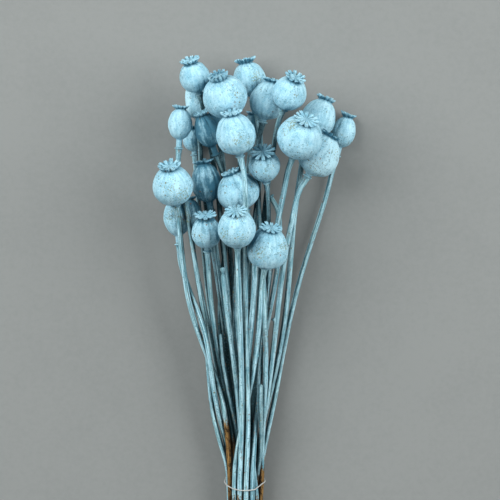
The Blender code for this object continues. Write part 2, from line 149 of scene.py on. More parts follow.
# Worn patches on the heads: where each lies across and along the bunch, its size, and how strong it is. One
# that is stronger than 1 shows the dark husk.
Patch = namedtuple("Patch", "x y size strength")
PATCHES = (
    Patch(30.0, 172.0, 6.0, 0.9),
    Patch(24.0, 166.0, 4.0, 0.8),
    Patch(-15.0, 160.0, 6.0, 0.9),
    Patch(-6.0, 158.0, 4.0, 0.8),
    Patch(-24.0, 154.0, 4.0, 0.6),
    Patch(-72.0, 120.0, 9.0, 0.7),
    Patch(-62.0, 114.0, 8.0, 0.8),
    Patch(-72.0, 97.0, 4.0, 1.6),
    Patch(-60.0, 96.0, 4.5, 1.6),
    Patch(-42.0, 90.0, 5.0, 0.5),
    Patch(-46.0, 79.0, 5.0, 0.6),
    Patch(0.0, 216.0, 6.0, 0.9),
    Patch(-16.0, 199.0, 6.0, 0.5),
    Patch(-27.0, 81.0, 4.0, 1.0),
    Patch(-12.0, 77.0, 7.0, 0.7),
    Patch(-12.0, 97.0, 6.0, 0.6),
    Patch(3.0, 65.0, 7.0, 0.8),
    Patch(23.0, 70.0, 6.0, 0.8),
    Patch(66.0, 150.0, 6.0, 0.6),
    Patch(50.0, 140.0, 7.0, 0.5),
    Patch(11.0, 136.0, 6.0, 0.6),
    Patch(-28.0, 125.0, 6.0, 0.4),
)

PLAIN_SIDES = 6  # of the plain stems: a ring with any other number of points belongs to a head
FIRST_RING = 4.0  # the corners of a plain cut end lie within this of each other, along the bunch

STEM_SIDES = 30
STEM_STEP = 4.0
LEAST_STEP = 0.25
STEM_FULL = 0.965  # the stem's radius between its grooves, as a share of the solid's
STEM_PROUD = 0.055  # how far a ridge may stand out from that, as a share of it
STEM_FLARE = 0.32  # how much wider a stem is right under its collar
FLARE_LONG = 4.0
GROOVES = (0.20, 0.16, 0.22, 0.15, 0.18)  # how wide each groove is, in radians
SCARS = ((0.22, 0.05), (0.47, 0.04), (0.71, 0.04))  # how far up the stem, and how much that varies
SCAR_LONG = 1.3
KNOB_ROWS = np.linspace(-3.0, 3.0, 11)
KNOB_LONG = 1.25
KNOB_WIDE = 0.5  # in radians
# The hollow cut end, from the middle out: how far out, as a share of the radius, how deep, and how much
# painted shade it gets inside the hole.
CUT_END = ((0.0, 2.6, 0.9), (0.30, 2.5, 0.9), (0.52, 1.6, 0.9), (0.60, 0.2, 0.2), (0.90, 0.0, 0.2))

SIDE_PULL = 0.001  # how much a corner's place across counts beside its height
SPOTS_PER_RAY = 12
CAPSULE_ROWS = 30
ROWS_CROWD = 0.30  # how much closer the rows lie at the capsule's foot and top than halfway up
MOST_LUMP = 0.25
GRAIN_APART = 9.0  # how far apart in the grain of the paint two poppies lie

# A skin as rows of points: where they are, how much painted shade their creases and hollows get, how bare
# of paint and how much a stalk the skin is there, and where they lie in the grain of the paint.
Spots = namedtuple("Spots", "places hollow bare stalk fibre")


def rings_of(node):
    """The rings of points of a plain solid, in millimetres, from the cut end to the tip."""
    bm = bmesh.new()
    bm.from_mesh(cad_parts[node].data)
    bmesh.ops.remove_doubles(bm, verts=bm.verts, dist=1e-6)
    bm.verts.index_update()
    low = min(vert.co.y for vert in bm.verts)
    ring = {vert for vert in bm.verts if vert.co.y < low + FIRST_RING * MM}
    seen, rings = set(), []
    while ring:
        seen |= ring
        rings.append(np.array([vert.co for vert in sorted(ring, key=lambda vert: vert.index)]) / MM)
        ring = {edge.other_vert(vert) for vert in ring for edge in vert.link_edges} - seen
    bm.free()
    return rings


def unit(way):
    way = np.asarray(way, float)
    return way / np.linalg.norm(way, axis=-1, keepdims=True)


def smooth_curve(knots, values, at):
    """A smooth curve through values, rows at the rising knots."""
    knots, values, at = np.array(knots, float), np.array(values, float), np.array(at, float)
    slopes = np.gradient(values, knots, axis=0)
    k = np.clip(np.searchsorted(knots, at) - 1, 0, len(knots) - 2)
    width = knots[k + 1] - knots[k]
    t = (at - knots[k]) / width
    if values.ndim > 1:
        width, t = width[:, None], t[:, None]
    return (
        (2 * t**3 - 3 * t**2 + 1) * values[k]
        + (t**3 - 2 * t**2 + t) * slopes[k] * width
        + (-2 * t**3 + 3 * t**2) * values[k + 1]
        + (t**3 - t**2) * slopes[k + 1] * width
    )


def lumps(places, size, seed):
    """Soft random lumps from -1 to 1, about size across."""
    flat = np.asarray(places).reshape(-1, 3) / size
    made = [noise.noise(Vector(spot) + Vector((seed * 7.3, seed * 3.1, -seed * 5.7))) for spot in flat]
    return np.array(made).reshape(np.asarray(places).shape[:-1])


def wave(count, seed):
    """One steady random number from -1 to 1 for each of count things."""
    spots = [Vector((k * 1.7 + 0.31, seed * 2.3 + 0.57, 0.73)) for k in range(count)]
    return np.array([noise.noise(spot) for spot in spots]) * 1.6


def near(angle, centre, width):
    """1 at an angle round a stem, falling to 0 past width, in radians."""
    off = (angle - centre + math.pi) % (2 * math.pi) - math.pi
    return np.exp(-((off / width) ** 2))


def stem_spots(name, middles, radii, seed, flare=0.0):
    """The skin of a stem from the bottom of its cut end up to its top, as rows of spots."""
    middles, radii = np.array(middles), np.array(radii)
    steps = np.linalg.norm(np.diff(middles, axis=0), axis=1)
    knots = np.append(0.0, np.cumsum(steps))
    along = np.linspace(0.0, knots[-1], round(knots[-1] / STEM_STEP) + 1)
    knobs = [knob for knob in KNOBS if knob.stem == name]
    for knob in knobs:
        along = np.union1d(along, np.interp(knob.y, middles[:, 1], knots) + KNOB_ROWS)
    along = along[np.append(True, np.diff(along) > LEAST_STEP)]
    lines = smooth_curve(knots, middles, along)
    flaring = 1 + flare * np.exp((along - knots[-1]) / FLARE_LONG)
    girth = smooth_curve(knots, radii, along) * STEM_FULL * flaring
    ways = unit(np.gradient(lines, along, axis=0))
    side = unit(np.cross(ways, [0.0, 0.0, 1.0]))
    up = np.cross(side, ways)
    turn = np.arange(STEM_SIDES) * 2 * math.pi / STEM_SIDES
    phase, share = turn[None, :], along[:, None]
    bend = wave(9, seed) * math.pi

    # fine ribs, grooves and leaf scars, all as shares of the radius
    skin = 0.035 * np.cos(5 * phase + bend[0] + 0.004 * share) * (0.6 + 0.4 * np.sin(share / 31 + bend[1]))
    skin += 0.028 * np.cos(8 * phase + bend[2] - 0.003 * share)
    skin += 0.018 * np.cos(12 * phase + bend[3])
    groove = np.zeros(skin.shape)
    for k, wide in enumerate(GROOVES):
        sway = 0.6 * bend[k] + 0.14 * np.sin(share / (40 + 9 * k) + bend[k + 1])
        strength = np.clip(0.55 + 0.75 * np.sin(share / (33 + 8 * k) + bend[k + 3]), 0, 1)
        groove += near(phase, 2 * math.pi * k / len(GROOVES) + sway, wide) * strength
    # painted shade: darker in the grooves, between the ribs and just below each leaf scar
    hollow = np.clip(0.95 * groove - 6.0 * np.minimum(skin, 0.0), 0.0, 1.0)
    skin = skin - 0.15 * groove
    for scar, (at, spread) in enumerate(SCARS):
        off = (share - (at + spread * bend[scar + 1]) * knots[-1]) / SCAR_LONG
        dip = np.exp(-((off - 1.5) ** 2))
        skin += (0.075 * np.exp(-(off**2)) - 0.03 * dip) * (1 + 0.4 * np.cos(phase + bend[scar]))
        hollow = np.maximum(hollow, 0.7 * dip)

    radius = girth[:, None] * (1 + np.minimum(skin, STEM_PROUD))
    for knob in knobs:
        off = (share - np.interp(knob.y, middles[:, 1], knots)) / KNOB_LONG
        radius += knob.out * np.exp(-(off**2)) * near(phase, math.radians(knob.turn), KNOB_WIDE)
    around = np.cos(phase)[..., None] * side[:, None, :] + np.sin(phase)[..., None] * up[:, None, :]
    places = lines[:, None, :] + radius[..., None] * around
    across, away = radius * np.cos(phase) + seed * GRAIN_APART, radius * np.sin(phase)
    fibre = np.stack([across, away, np.broadcast_to(share, radius.shape)], axis=-1)

    out, depth, dark = np.array(CUT_END).T[..., None, None]
    end = lines[0] + depth * ways[0] + out * radius[0][:, None] * around[0]
    places = np.concatenate([end, places])
    fibre = np.concatenate([np.repeat(fibre[:1], len(end), axis=0), fibre])
    # painted shade inside the hollow cut end
    hollow = np.concatenate([np.broadcast_to(dark[..., 0], (len(end), STEM_SIDES)), hollow])
    paint_end = PAINT_ENDS.get(name, PAINT_END + PAINT_SPREAD * bend[3] / math.pi)
    bare = np.clip((paint_end - places[..., 1]) / PAINT_FADE, -1.0, 1.0)
    bare[: len(end)] = 1.0
    return Spots(places, hollow, bare, np.ones(hollow.shape), fibre), ways[-1]


class Head:
    """A head as its plain solid has it: its foot, its axis, and the radius all the way up."""

    def __init__(self, rings):
        # from the foot up: collar, neck, seven rings of the capsule, the crown's underside and its rim
        heads = [ring for ring in rings if len(ring) != PLAIN_SIDES]
        self.rays = len(heads[0])
        middles = [ring.mean(axis=0) for ring in heads]
        capsule = heads[2:9]
        self.foot = capsule[0].mean(axis=0)
        self.axis = unit(capsule[-1].mean(axis=0) - self.foot)
        self.tall = float((capsule[-1].mean(axis=0) - self.foot) @ self.axis)
        spread = [np.median(np.linalg.norm(ring - ring.mean(axis=0), axis=1)) for ring in heads]
        self.collar, self.neck = spread[0], spread[1]
        self.collar_at = float((middles[0] - self.foot) @ self.axis)
        self.neck_at = float((middles[1] - self.foot) @ self.axis)
        self.share = [float((middles[k] - self.foot) @ self.axis) / self.tall for k in range(2, 9)]
        self.girth = spread[2:9]
        rim = heads[10]
        self.crown = np.linalg.norm(rim - rim.mean(axis=0), axis=1).max()
        self.crown_at = float((heads[9].mean(axis=0) - self.foot) @ self.axis)
        wide = capsule[3]
        # the highest corner, or the right one where two are as high
        high = wide[(wide[:, 2] + SIDE_PULL * wide[:, 0]).argmax()] - wide.mean(axis=0)
        self.side = unit(high - (high @ self.axis) * self.axis)
        self.up = np.cross(self.axis, self.side)


def head_spots(head, stem_radius, skin, crown, seed):
    """The skin of a head from the top of its stem, over collar, capsule and crown, to the crown's middle."""
    columns = head.rays * SPOTS_PER_RAY
    turn = np.arange(columns) * 2 * math.pi / columns
    ray = np.round(turn / (2 * math.pi / head.rays)).astype(int) % head.rays
    tilt = wave(head.rays, seed)[ray]
    reach = wave(head.rays, seed + 31)[ray]
    swing = turn * head.rays
    # top is 1 on a ray's middle line and gap is 1 between two rays. off is how far a spot is from that line,
    # in rays, humps are the ridges to both sides of it, and cut is the notch between two rays.
    top = (1 + np.cos(swing)) / 2
    gap = (1 - top) ** 1.5
    off = np.abs((swing / (2 * math.pi) + 0.5) % 1.0 - 0.5)
    humps = np.exp(-(((off - 0.165) / 0.085) ** 2))
    cut = np.clip((off - 0.20) / 0.24, 0.0, 1.0) ** 1.2
    rows = []

    def row(height, radius, hollow=0.0, stalk=0.0):
        rows.append(
            (
                np.broadcast_to(height, columns),
                np.broadcast_to(radius, columns),
                np.broadcast_to(hollow, columns),
                np.broadcast_to(stalk, columns),
            )
        )

    # the collar and the neck, with painted shade in the folds where they meet
    uneven = 1 + 0.05 * np.sin(2 * turn + seed) + 0.04 * np.sin(3 * turn + 2.0 * seed)
    start = head.collar_at - 0.85
    slim = head.neck * 0.96
    row(start - 0.1, stem_radius * STEM_FULL * (1 + STEM_FLARE), 0.1, 1.0)
    row(start + 0.1, stem_radius * 1.34, 0.5, 0.9)
    row(head.collar_at - 0.45, head.collar * 0.94 * uneven, 0.1, 0.8)
    row(head.collar_at - 0.05, head.collar * 1.06 * uneven, 0.0, 0.7)
    row(head.collar_at + 0.35, head.collar * 1.02 * uneven, 0.0, 0.6)
    row(head.collar_at + 0.62, head.neck * 1.12, 0.8, 0.5)
    row(head.neck_at - 0.45, head.neck, 0.7, 0.5)
    row(head.neck_at, slim, 0.3, 0.4)
    if head.neck_at < -1.2:
        for k in (0.35, 0.7):
            row(head.neck_at * (1 - k), slim + (head.girth[0] - slim) * k**2.5, 0.1, 0.4 * (1 - k))

    # the capsule, with a deep crease between two ribs and a faint one down each, painted shade in the
    # creases, and a painted shadow round its top under the crown
    ends = np.linspace(0.0, 1.0, CAPSULE_ROWS)
    ends = ends - ROWS_CROWD * np.sin(2 * math.pi * ends) / (2 * math.pi)
    widest = max(head.girth)
    girth = widest * (smooth_curve(head.share, head.girth, ends) / widest) ** skin.barrel
    crease = np.exp(-(((swing / (2 * math.pi) % 1.0 - 0.5) / 0.13) ** 2))
    faint = np.exp(-((((swing / (2 * math.pi) + 0.5) % 1.0 - 0.5) / 0.09) ** 2))
    between = (turn * head.rays / (2 * math.pi)).astype(int) % head.rays
    strong = 0.75 + 0.6 * wave(head.rays, seed + 60)[between]
    for t, radius in zip(ends, girth):
        edge = abs(2 * t - 1) ** 1.5
        deep = skin.rib * (0.6 + 2.0 * edge) * strong
        ribs = 1 - deep * crease - 0.35 * deep * faint + 0.25 * deep * np.cos(swing)
        dark = 0.6 * np.clip(crease * (0.10 + 10 * deep * (0.35 + edge)), 0, 1)
        crown_shadow = 0.75 * np.clip((t - 0.93) / 0.07, 0, 1) * (0.5 + 0.5 * gap)
        row(t * head.tall, radius * ribs, np.maximum(dark, crown_shadow))

    # the waist under the crown, in painted shadow
    shoulder, under = head.girth[-1], head.crown_at
    waist = shoulder * 0.88 * (1 - 0.30 * gap)
    row(head.tall + 0.30, shoulder * 0.93 * (1 - 0.15 * gap), 0.6 + 0.4 * gap)
    row(head.tall + 0.65, waist, 0.7 + 0.3 * gap)
    row(under - 0.25, waist, 0.7 + 0.3 * gap)
    rim = head.crown * (1 + 0.06 * reach) * (1 - crown.notch * cut - 0.05 * (1 - humps) * (off < 0.2))
    inner = shoulder * 0.92

    def rise(share):
        return crown.cup * share**1.7 + crown.frill * tilt * share**3 - 0.25 * crown.frill * top * share**4

    def at(share):
        out = inner + (rim - inner) * share
        return out * (1 - 0.05 * crown.cup / 3.0 * share**2)

    # the crown: its toothed underside outwards, its rim, its ridged top inwards, and its middle, with painted
    # shadow on the underside and painted shade in the cuts between the rays
    for share, dark in ((0.10, 1.0), (0.35, 0.9), (0.6, 0.7), (0.82, 0.4), (0.96, 0.1)):
        teeth = 0.9 * (1 - share) ** 1.3 + 1.1 * top * (1 - share)
        row(under + rise(share) - teeth, at(share), dark * (0.4 + 0.6 * gap))
    row(under + rise(1.0) + 0.25 + 0.15 * top, at(1.0) * 1.015, 0.0)
    for share in (0.97, 0.88, 0.74, 0.58, 0.42, 0.26, 0.12):
        ridge = (0.55 * (1 - cut) + 0.75 * humps) * min(1.0, 1.5 * share + 0.35)
        upper = under + rise(share) + 0.25 + ridge * (0.60 + 0.40 * (1 - share))
        dark = np.clip(0.04 + 1.6 * cut + 0.5 * (1 - humps) * (off < 0.12), 0, 1)
        row(upper, at(share), dark * (0.65 + 0.35 * share))
    for share, high in ((0.8, 0.9), (0.5, 1.05), (0.22, 0.95)):
        row(under + high + (0.5 * humps - 0.35 * cut) * share, inner * share * 0.94, 0.75 * cut + 0.2)
    row(under + 0.85, 0.0, 0.3)

    # all rows round the axis, with lumps on the capsule
    height, radius, hollow, stalk = (np.array(part) for part in zip(*rows))
    around = np.cos(turn)[:, None] * head.side + np.sin(turn)[:, None] * head.up
    places = head.foot + height[..., None] * head.axis + radius[..., None] * around
    on_capsule = np.clip(np.minimum(height, head.tall - height) / (0.16 * head.tall), 0.0, 1.0)
    bump = skin.lump * lumps(places, 9.0, seed) + 0.35 * skin.lump * lumps(places, 3.5, seed + 5)
    bump = np.minimum(bump, MOST_LUMP)
    places = places + (bump * on_capsule * (radius > 0.0))[..., None] * around
    across = np.broadcast_to(widest * np.cos(turn), height.shape)
    away = np.broadcast_to(widest * np.sin(turn) + seed * GRAIN_APART, height.shape)
    fibre = np.stack([across, away, height], axis=-1)
    return Spots(places, hollow, np.full(height.shape, -1.0), stalk, fibre)


def whole_bunch():
    """All of the plain solids as one thing that rays can hit, in millimetres."""
    corners, faces = [], []
    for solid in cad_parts.values():
        first = len(corners)
        corners += [vert.co / MM for vert in solid.data.vertices]
        faces += [[first + k for k in face.vertices] for face in solid.data.polygons]
    return BVHTree.FromPolygons(corners, faces)


def sphere_ways(count):
    """Ways that are spread evenly over a sphere."""
    k = np.arange(count) + 0.5
    height, turn = 1 - 2 * k / count, 2.39996 * k
    flat = np.sqrt(1 - height**2)
    return np.column_stack([flat * np.cos(turn), flat * np.sin(turn), height])


SHELTER_ROWS, SHELTER_COLUMNS = 2, 3  # shelter is worked out at every second row and third column
SHELTER_WAYS = 26
SHELTER_REACH = 42.0
SHELTER_LIFT = 1.3
LEAST_FACING = 0.12


def shelter_at(places, bunch):
    """How hemmed in a skin is by the rest of the bunch, from 0 to 1: the paint turns it into painted shade.
    """
    few = places[::SHELTER_ROWS, ::SHELTER_COLUMNS]
    out = unit(np.cross(np.roll(few, -1, axis=1) - np.roll(few, 1, axis=1), np.gradient(few, axis=0)) + 1e-9)
    if (out * (few - few.mean(axis=1, keepdims=True))).sum() < 0:
        out = -out
    ways = sphere_ways(SHELTER_WAYS)
    found = np.zeros(few.shape[:2])
    for at in np.ndindex(found.shape):
        facing = ways @ out[at]
        start = Vector(few[at] + SHELTER_LIFT * out[at])
        total = blocked = 0.0
        for way, weight in zip(ways[facing > LEAST_FACING], facing[facing > LEAST_FACING]):
            total += weight
            _, _, face, far = bunch.ray_cast(start, Vector(way), SHELTER_REACH)
            if face is not None:
                blocked += weight * (1 - 0.45 * far / SHELTER_REACH)
        found[at] = blocked / total
    rows = np.minimum(np.arange(places.shape[0]) / SHELTER_ROWS, few.shape[0] - 1)
    columns = np.arange(places.shape[1]) / SHELTER_COLUMNS
    low, left = rows.astype(int), columns.astype(int) % few.shape[1]
    high, right = np.minimum(low + 1, few.shape[0] - 1), (left + 1) % few.shape[1]
    a, b = (rows % 1)[:, None], (columns % 1)[None, :]
    near_row = found[low][:, left] * (1 - b) + found[low][:, right] * b
    far_row = found[high][:, left] * (1 - b) + found[high][:, right] * b
    return near_row * (1 - a) + far_row * a


def worn_at(places):
    """How worn the paint is at some places: 0, or up to a patch's strength at its middle."""
    worn = np.zeros(places.shape[:-1])
    for patch in PATCHES:
        far = np.hypot(places[..., 0] - patch.x, places[..., 1] - patch.y)
        worn = np.maximum(worn, patch.strength * np.exp(-((far / patch.size) ** 2)))
    return worn


PAINT_LAYERS = ("hollow", "bare", "stalk", "worn", "shelter")
LOWEST = 0.0001  # in metres: no point of a skin lies nearer to the table


def roll(bm, spots, bunch, thin=0.0):
    """A sheet of squares rolled up into a tube, with what the paint needs to know kept on its points."""
    rows, columns = spots.places.shape[:2]
    layers = bm.verts.layers
    kept = [layers.float.get(name) or layers.float.new(name) for name in PAINT_LAYERS]
    grain = layers.float_vector.get("fibre") or layers.float_vector.new("fibre")
    made = bmesh.ops.create_grid(bm, x_segments=columns, y_segments=rows - 1, size=0.5)["verts"]
    # shelter plus the given shift becomes painted shade in the paint, and painted light below 0
    worn, shelter = worn_at(spots.places), shelter_at(spots.places, bunch) + thin
    for k, vert in enumerate(made):
        row, column = divmod(k, columns + 1)
        column %= columns
        vert.co = Vector(spots.places[row, column]) * MM
        vert.co.z = max(vert.co.z, LOWEST)
        for layer, values in zip(kept, (spots.hollow, spots.bare, spots.stalk, worn, shelter)):
            vert[layer] = values[row, column]
        vert[grain] = Vector(spots.fibre[row, column])
    bmesh.ops.remove_doubles(bm, verts=made, dist=1e-7)


def finish_piece(bm, name, paint, crease=48):
    """An object made from bm, smooth but for edges that are sharper than crease, in degrees."""
    bmesh.ops.recalc_face_normals(bm, faces=bm.faces)
    for face in bm.faces:
        face.smooth = True
    mesh = bpy.data.meshes.new(name)
    bm.to_mesh(mesh)
    bm.free()
    mesh.set_sharp_from_angle(angle=math.radians(crease))
    mesh.materials.append(paint)
    made = bpy.data.objects.new(name, mesh)
    bpy.context.scene.collection.objects.link(made)
    return made


def place(piece, node, slot):
    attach(piece, "root")
    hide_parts(node)


def split_rings(name):
    """A solid's stem as middles and radii, and all of its rings."""
    rings = rings_of(name)
    stem = [ring for ring in rings if len(ring) == PLAIN_SIDES]
    middles = [ring.mean(axis=0) for ring in stem]
    radii = [float(np.linalg.norm(ring - ring.mean(axis=0), axis=1).mean()) for ring in stem]
    return middles, radii, rings


def make_poppy(number, paint, bunch):
    """One poppy: a stem, its collar, the ribbed capsule and the crown, in one skin."""
    name = f"poppy_{number:02d}"
    middles, radii, rings = split_rings(name)
    head = Head(rings)
    bm = bmesh.new()
    stalk, _ = stem_spots(name, middles, radii, number, STEM_FLARE)
    roll(bm, stalk, bunch)
    skin, crown = SKINS[number - 1], CROWNS[number - 1]
    cap = head_spots(head, radii[-1], skin, crown, number)
    on_crown = (cap.places - head.foot) @ head.axis > head.tall + 0.5
    # each head's own shift of painted shade on its crown and capsule, painted light under 0
    roll(bm, cap, bunch, np.where(on_crown, crown.thin, skin.thin))
    bmesh.ops.bridge_loops(bm, edges=[edge for edge in bm.edges if edge.is_boundary])
    place(finish_piece(bm, f"{name}_painted", paint), name, "painted_poppy")
    return middles, radii


# Tips of the bare stems, as rings: the radius as a share of the stem's, how far past the stem's end the ring
# is, and how much painted shade it gets. The first is a swollen knob, the second flares, and two are broken
# off hollow.
HOLLOW_TIP = ((0.86, 0.3, 0.3), (0.62, 0.1, 0.8), (0.40, -1.0, 1.0), (0.0, -1.3, 1.0))
TIPS = {
    1: (
        (0.95, -6.6, 0.2),
        (0.72, -5.0, 0.8),
        (0.76, -3.6, 0.5),
        (1.22, -2.3, 0.0),
        (1.30, -1.2, 0.0),
        (1.10, -0.2, 0.0),
        (0.6, 0.2, 0.1),
        (0.0, 0.3, 0.2),
    ),
    2: (
        (0.95, -2.6, 0.3),
        (0.90, -1.4, 0.6),
        (1.45, -0.6, 0.8),
        (1.60, 0.0, 0.6),
        (1.40, 0.6, 0.7),
        (0.8, 0.7, 0.9),
        (0.0, 0.3, 1.0),
    ),
    3: ((1.0, -1.6, 0.0), (1.02, -0.3, 0.1)) + HOLLOW_TIP,
    4: ((1.0, -1.6, 0.0), (1.05, -0.3, 0.1)) + HOLLOW_TIP,
}
TIP_UNEVEN = 0.3
BARE_SEED = 40

# Painted shade on each bare stem, and painted light where it is under 0, as for the crowns.
BARE_SHADE = {1: -0.15, 2: -0.40, 3: 0.14, 4: 0.25}


def make_bare_stem(number, paint, bunch):
    """A stem whose head has broken off."""
    name = f"bare_stem_{number}"
    middles, radii, _ = split_rings(name)
    stalk, way = stem_spots(name, middles, radii, BARE_SEED + number)
    top = np.array(middles[-1])
    tip = TIPS[number]
    below = ((stalk.places.mean(axis=1) - top) @ way) < tip[0][1] - 1.0
    kept = Spots(*(part[below] for part in stalk))
    rim = kept.places[-1] - kept.places[-1].mean(axis=0)
    rim = rim - (rim @ way)[:, None] * way
    lobes = np.sin(3 * np.arange(STEM_SIDES) * 2 * math.pi / STEM_SIDES + number)
    rings = []
    for out, past, _ in tip:
        uneven = TIP_UNEVEN * lobes * (0.5 < out < 0.9)
        rings.append(top + rim * out + way * (past + uneven)[:, None])
    shade = np.array([dark for _, _, dark in tip])[:, None] * np.ones(STEM_SIDES)
    bm = bmesh.new()
    whole = Spots(
        np.concatenate([kept.places, rings]),
        np.concatenate([kept.hollow, shade]),
        np.concatenate([kept.bare, np.full(shade.shape, -1.0)]),
        np.concatenate([kept.stalk, np.ones(shade.shape)]),
        np.concatenate([kept.fibre, np.repeat(kept.fibre[-1:], len(tip), axis=0)]),
    )
    roll(bm, whole, bunch, BARE_SHADE[number])
    place(finish_piece(bm, f"{name}_painted", paint), name, "painted_poppy")
    return middles, radii


TIE_Y, TIE_Z = -131.14, 18.2
TIE_LEAN = 0.45  # how far the tie slants back along the bunch for each millimetre up
TIE_THICK = 1.1
TIE_TUBE = 0.49  # the round thread's radius, inside the solid's faceted tube
TIE_GAP = 0.32
TIE_SPOTS, TIE_SIDES = 120, 12
STEM_ROOM = 1.04  # the room that the tie gives a stem, as a share of the solid's radius


def make_tie(stems, elastic, bunch):
    """The thin elastic, stretched round the stems where they are gathered."""
    discs = []
    for middles, radii in stems:
        line = np.array(middles)
        height = TIE_Z
        for _ in range(5):
            along = TIE_Y - TIE_LEAN * (height - TIE_Z)
            height = np.interp(along, line[:, 1], line[:, 2])
        across = np.interp(along, line[:, 1], line[:, 0])
        discs.append((across, height, np.interp(along, line[:, 1], radii) * STEM_ROOM))
    discs = np.array(discs)
    path = []
    for k in range(TIE_SPOTS):
        turn = 2 * math.pi * k / TIE_SPOTS
        way = np.array([math.cos(turn), math.sin(turn)])
        far = discs[(discs[:, :2] @ way + discs[:, 2]).argmax()]
        spot = far[:2] + way * (far[2] + TIE_THICK / 2 + TIE_GAP)
        path.append((spot[0], TIE_Y - TIE_LEAN * (spot[1] - TIE_Z), spot[1]))
    path = np.array(path)
    path = (np.roll(path, 1, axis=0) + 2 * path + np.roll(path, -1, axis=0)) / 4
    ways = unit(np.roll(path, -1, axis=0) - np.roll(path, 1, axis=0))
    out = unit(path - path.mean(axis=0))
    flat = unit(np.cross(ways, out))
    turn = np.arange(TIE_SIDES) * 2 * math.pi / TIE_SIDES
    places = (
        path[:, None, :]
        + TIE_TUBE * np.cos(turn)[None, :, None] * out[:, None, :]
        + TIE_TUBE * np.sin(turn)[None, :, None] * flat[:, None, :]
    )
    places = np.concatenate([places, places[:1]])
    steps = np.diff(np.concatenate([path, path[:1]]), axis=0)
    run = np.append(0.0, np.cumsum(np.linalg.norm(steps, axis=1)))
    none = np.zeros(places.shape[:2])
    fibre = np.stack([none + np.cos(turn), none + np.sin(turn), none + run[:, None]], axis=-1)
    bm = bmesh.new()
    roll(bm, Spots(places, none, none, none, fibre), bunch)
    bmesh.ops.remove_doubles(bm, verts=bm.verts, dist=1e-6)
    place(finish_piece(bm, "tie_elastic", elastic, 80), "tie", "elastic")


class Nodes:
    """A node tree under construction, with short ways to add and join nodes."""

    def __init__(self, tree):
        self.tree = tree

    def add(self, kind, inputs=None, **settings):
        node = self.tree.nodes.new(kind)
        for name, value in settings.items():
            setattr(node, name, value)
        for name, value in (inputs or {}).items():
            self.join(value, node.inputs[name])
        return node

    def join(self, value, socket):
        if isinstance(value, bpy.types.NodeSocket):
            self.tree.links.new(value, socket)
        else:
            socket.default_value = value

    def math(self, operation, *values, clamp=False):
        node = self.add("ShaderNodeMath", operation=operation, use_clamp=clamp)
        for value, socket in zip(values, node.inputs):
            self.join(value, socket)
        return node.outputs[0]

    def times(self, one, other):
        return self.math("MULTIPLY", one, other)

    def plus(self, one, other):
        return self.math("ADD", one, other)

    def mix(self, share, low, high):
        node = self.add("ShaderNodeMix", data_type="RGBA")
        self.join(share, node.inputs[0])
        self.join(low, node.inputs[6])
        self.join(high, node.inputs[7])
        return node.outputs[2]

    def band(self, value, start, stop, low=0.0, high=1.0):
        inputs = {"Value": value, "From Min": start, "From Max": stop, "To Min": low, "To Max": high}
        return self.add("ShaderNodeMapRange", inputs).outputs["Result"]

    def cloud(self, place, scale, detail, roughness=0.5):
        inputs = {"Vector": place, "Scale": scale, "Detail": detail, "Roughness": roughness}
        return self.add("ShaderNodeTexNoise", inputs).outputs

    def stretch(self, place, by):
        return self.add("ShaderNodeVectorMath", {0: place, 1: by}, operation="MULTIPLY").outputs[0]

    def attribute(self, name, vector=False):
        node = self.add("ShaderNodeAttribute", attribute_type="GEOMETRY", attribute_name=name)
        return node.outputs["Vector" if vector else "Fac"]


def rgb(red, green, blue):
    return (red, green, blue, 1.0)


WHITE = (1.0, 1.0, 1.0)
# black for the flecks on the bare bark, and for painted shade on it
BARK_BLACK_AND_SHADE = rgb(0.02, 0.012, 0.006)


def new_group(name, inputs, outputs):
    """An empty shader group with the named sockets."""
    tree = bpy.data.node_groups.new(name, "ShaderNodeTree")
    kinds = {"value": "NodeSocketFloat", "colour": "NodeSocketColor", "vector": "NodeSocketVector"}
    for socket, kind, value in inputs:
        made = tree.interface.new_socket(name=socket, in_out="INPUT", socket_type=kinds[kind])
        if value is not None:
            made.default_value = value
    for socket, kind in outputs:
        tree.interface.new_socket(name=socket, in_out="OUTPUT", socket_type=kinds[kind])
    entry, leave = tree.nodes.new("NodeGroupInput"), tree.nodes.new("NodeGroupOutput")
    return Nodes(tree), entry.outputs, leave.inputs


def mottle_group():
    """Cloudy patches and a fine powdery grain between two colours."""
    nodes, given, out = new_group(
        "mottle",
        (
            ("Place", "vector", None),
            ("Patch", "value", 0.12),
            ("Grain", "value", 1.4),
            ("Low", "colour", None),
            ("High", "colour", None),
        ),
        (("Colour", "colour"), ("Height", "value")),
    )
    patches = nodes.cloud(given["Place"], given["Patch"], 6.0, 0.72)[0]
    grain = nodes.cloud(given["Place"], given["Grain"], 4.0, 0.72)[0]
    both = nodes.plus(nodes.times(patches, 0.5), nodes.times(grain, 0.5))
    share = nodes.band(both, 0.37, 0.55)
    nodes.join(nodes.mix(share, given["Low"], given["High"]), out["Colour"])
    nodes.join(both, out["Height"])
    return nodes.tree


